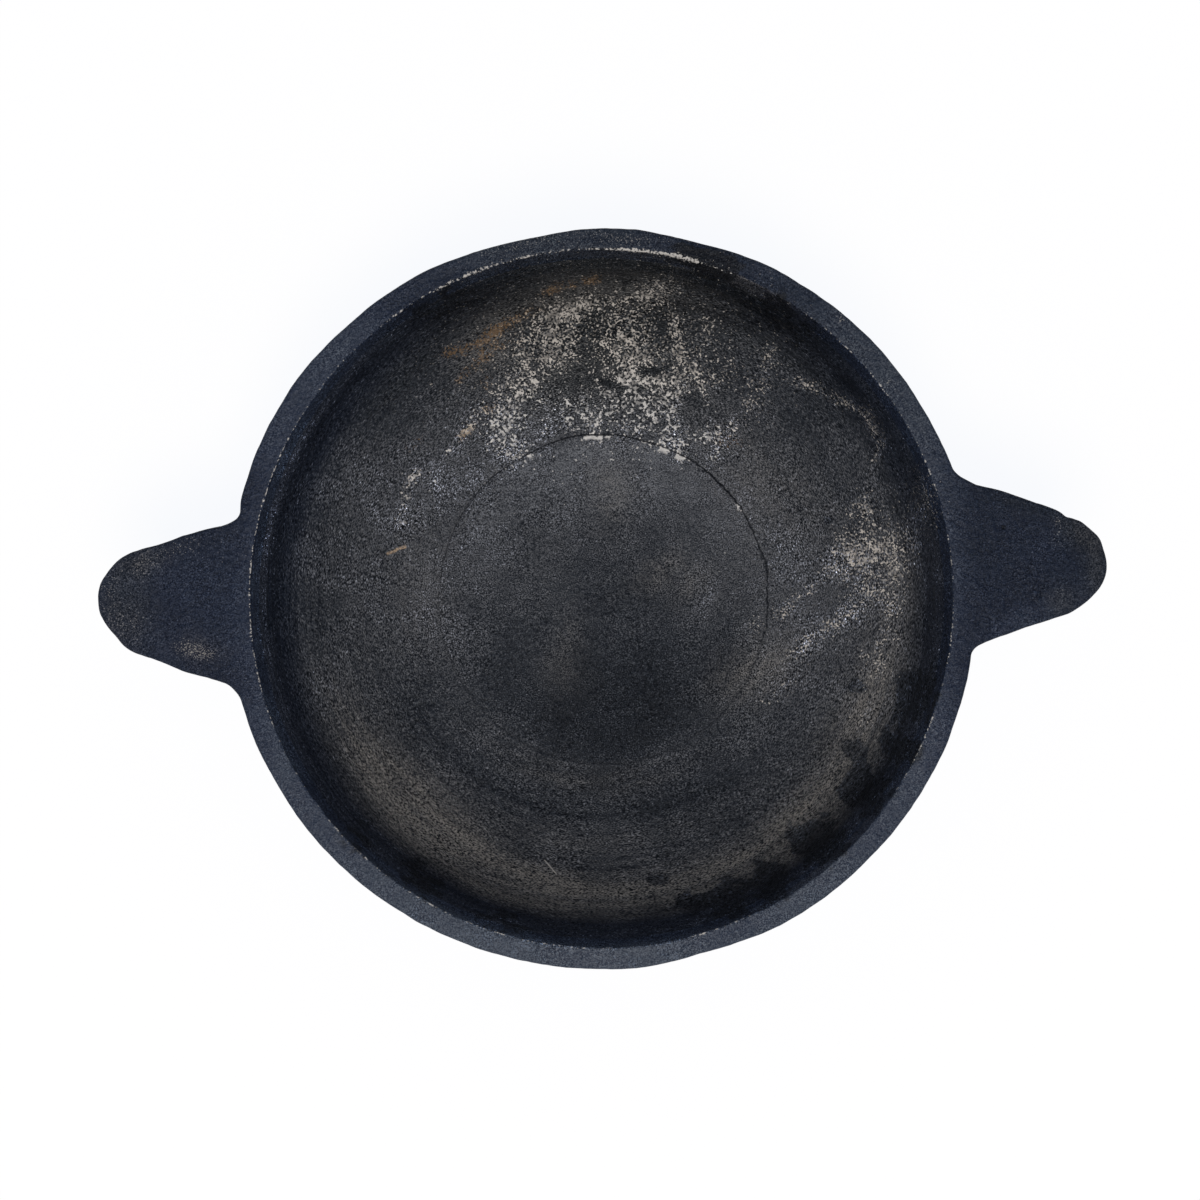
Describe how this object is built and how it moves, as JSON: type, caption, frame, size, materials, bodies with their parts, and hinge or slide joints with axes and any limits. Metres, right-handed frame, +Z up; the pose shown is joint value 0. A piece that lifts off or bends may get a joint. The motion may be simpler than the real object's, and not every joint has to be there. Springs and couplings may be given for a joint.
{
  "type": "two-handled cast-iron pan",
  "caption": "Round cast-iron cooking pan with a flat floor, a shallow dish, a steep side wall, a flat-topped rim and a flat solid lug on each side.",
  "frame": {"origin": "centre of the flat underside, on the surface that the pan stands on", "axes": "+Z up, +X towards the lug on the right in the picture, +Y away from someone who holds both lugs"},
  "size_m": [0.342, 0.254, 0.0645],
  "materials": {
    "bowl_iron": "sand-cast and seasoned, dull black with worn specks",
    "rim_iron": "sand-cast and seasoned, blue-black satin"
  },
  "bodies": {
    "root": {"base_disc": "bowl_iron", "dish": "bowl_iron", "side_wall": "bowl_iron", "rim_band": "rim_iron", "left_lug": "rim_iron", "right_lug": "rim_iron"}
  },
  "joints": []
}
